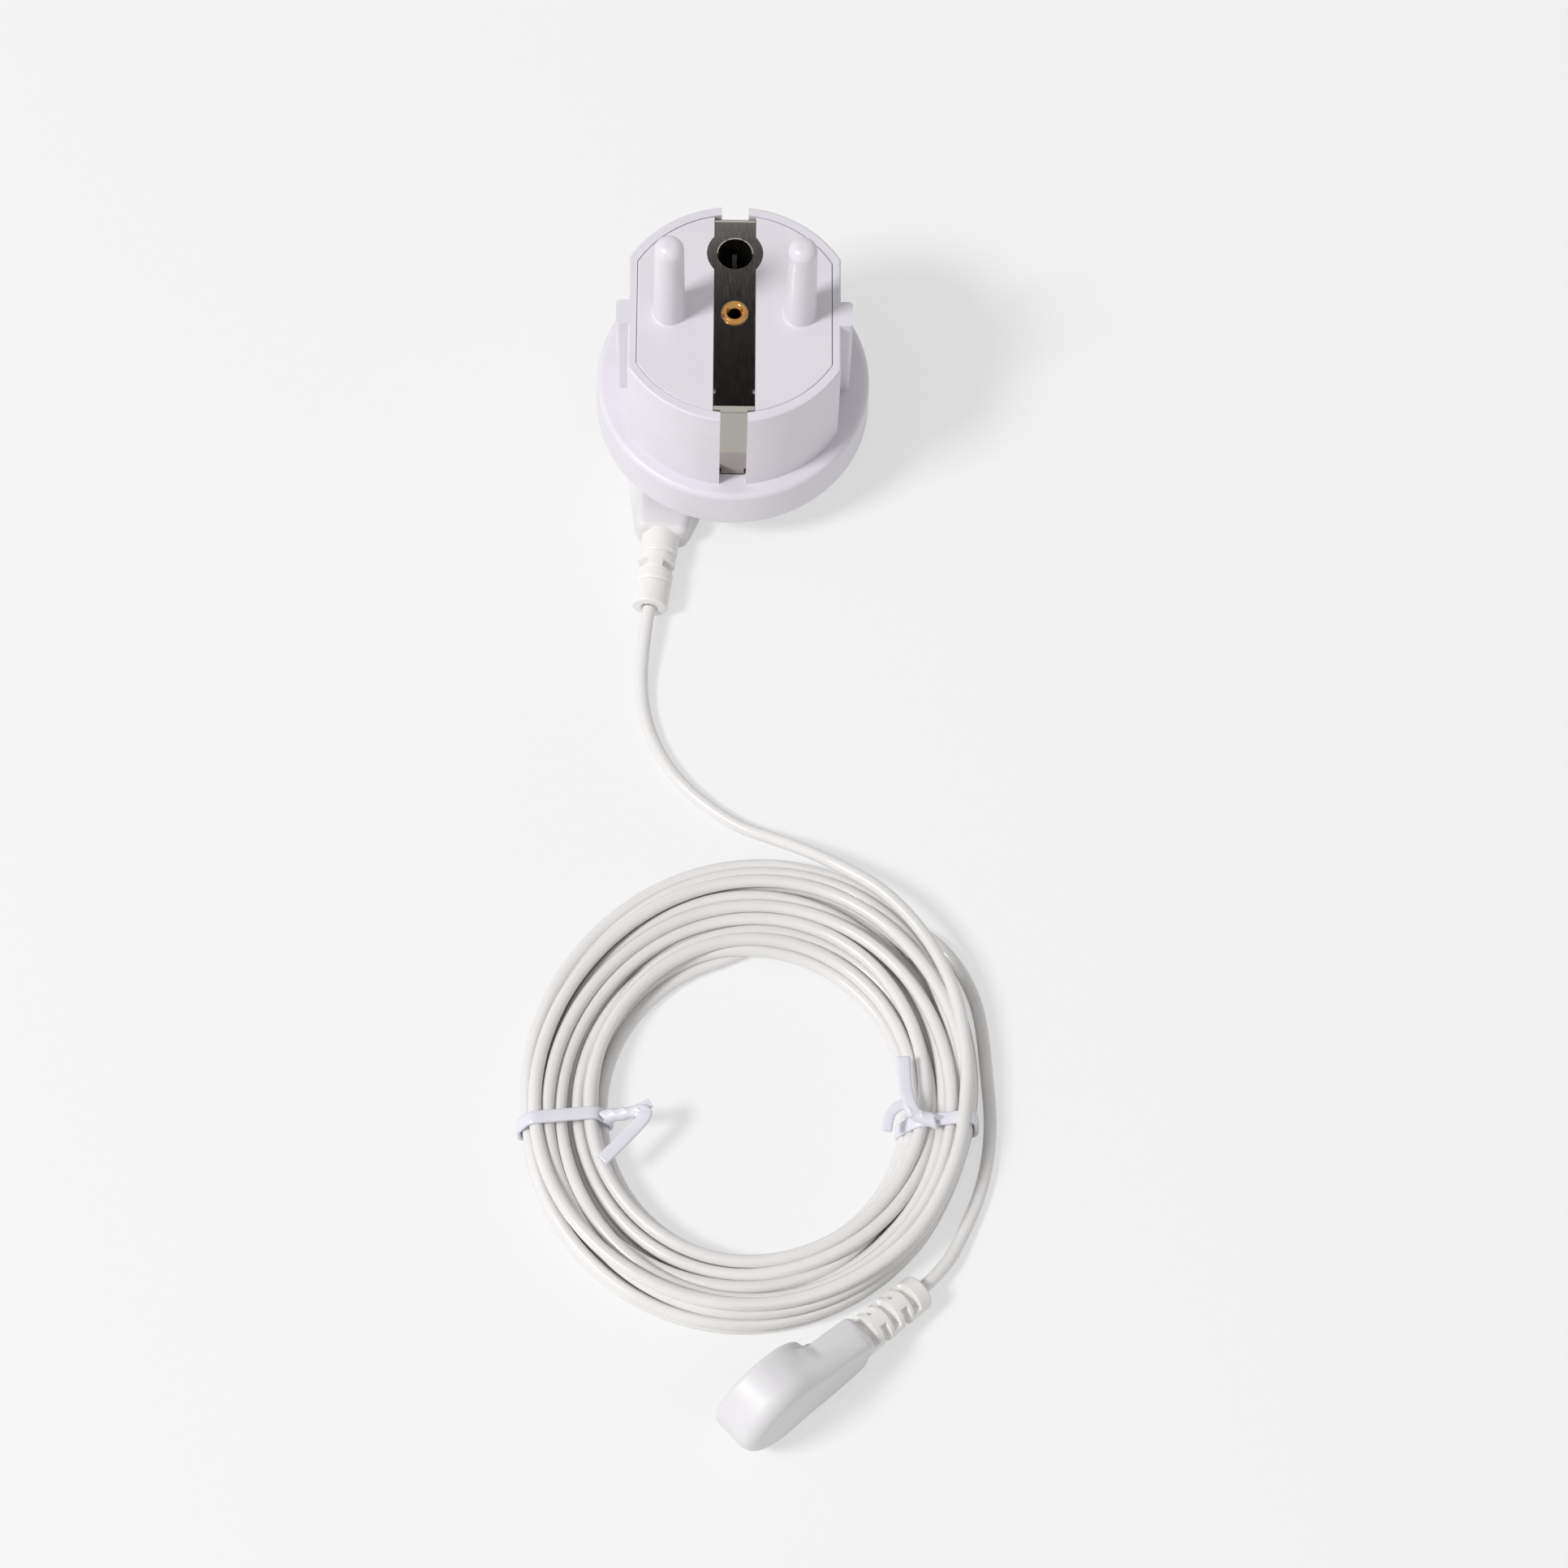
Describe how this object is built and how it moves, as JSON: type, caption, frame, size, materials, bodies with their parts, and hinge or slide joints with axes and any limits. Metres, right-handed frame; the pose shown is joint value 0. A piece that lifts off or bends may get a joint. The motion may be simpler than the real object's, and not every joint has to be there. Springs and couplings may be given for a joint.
{
  "type": "grounding plug adapter",
  "caption": "Round mains plug with plastic pins that takes only the socket's earth, with rear snap studs and a coiled, tied lead with a snap connector at each end.",
  "frame": {"origin": "centre of the housing's flat back face", "axes": "+Z along the pins, away from the back; +Y towards the earth hole; the lead lies towards -Y"},
  "size_m": [0.0685, 0.1821, 0.0536],
  "materials": {
    "housing_plastic": "satin",
    "pin_plastic": "satin",
    "strip_steel": "polished",
    "contact_brass": "bright",
    "eyelet_brass": "bright",
    "resistor_ceramic": "lacquered",
    "lead_wire": "tinned",
    "plate_steel": "plain",
    "snap_nickel": "nickel plated",
    "spring_steel": "drawn wire",
    "connector_plastic": "matt",
    "relief_plastic": "satin",
    "cord_jacket": "glossy",
    "tie_plastic": "glossy"
  },
  "bodies": {
    "root": {"housing": "housing_plastic", "pin_face": "pin_plastic", "earth_strip": "strip_steel", "earth_contact": "contact_brass", "eyelet": "eyelet_brass", "solder_tag": "contact_brass", "resistor_body": "resistor_ceramic", "resistor_lead_in": "lead_wire", "resistor_lead_out": "lead_wire", "contact_plate": "plate_steel", "snap_stud_1": "snap_nickel", "snap_stud_2": "snap_nickel", "snap_stud_3": "snap_nickel", "stud_rivet_1": "snap_nickel", "stud_rivet_2": "snap_nickel", "stud_rivet_3": "snap_nickel", "plug_head_shell": "connector_plastic", "plug_head_socket": "snap_nickel", "plug_head_spring": "spring_steel", "plug_head_relief": "relief_plastic", "mat_head_shell": "connector_plastic", "mat_head_socket": "snap_nickel", "mat_head_spring": "spring_steel", "mat_head_relief": "relief_plastic", "cord_lead": "cord_jacket", "cord_coil": "cord_jacket", "cord_tail": "cord_jacket", "left_tie": "tie_plastic", "right_tie": "tie_plastic"}
  },
  "joints": []
}
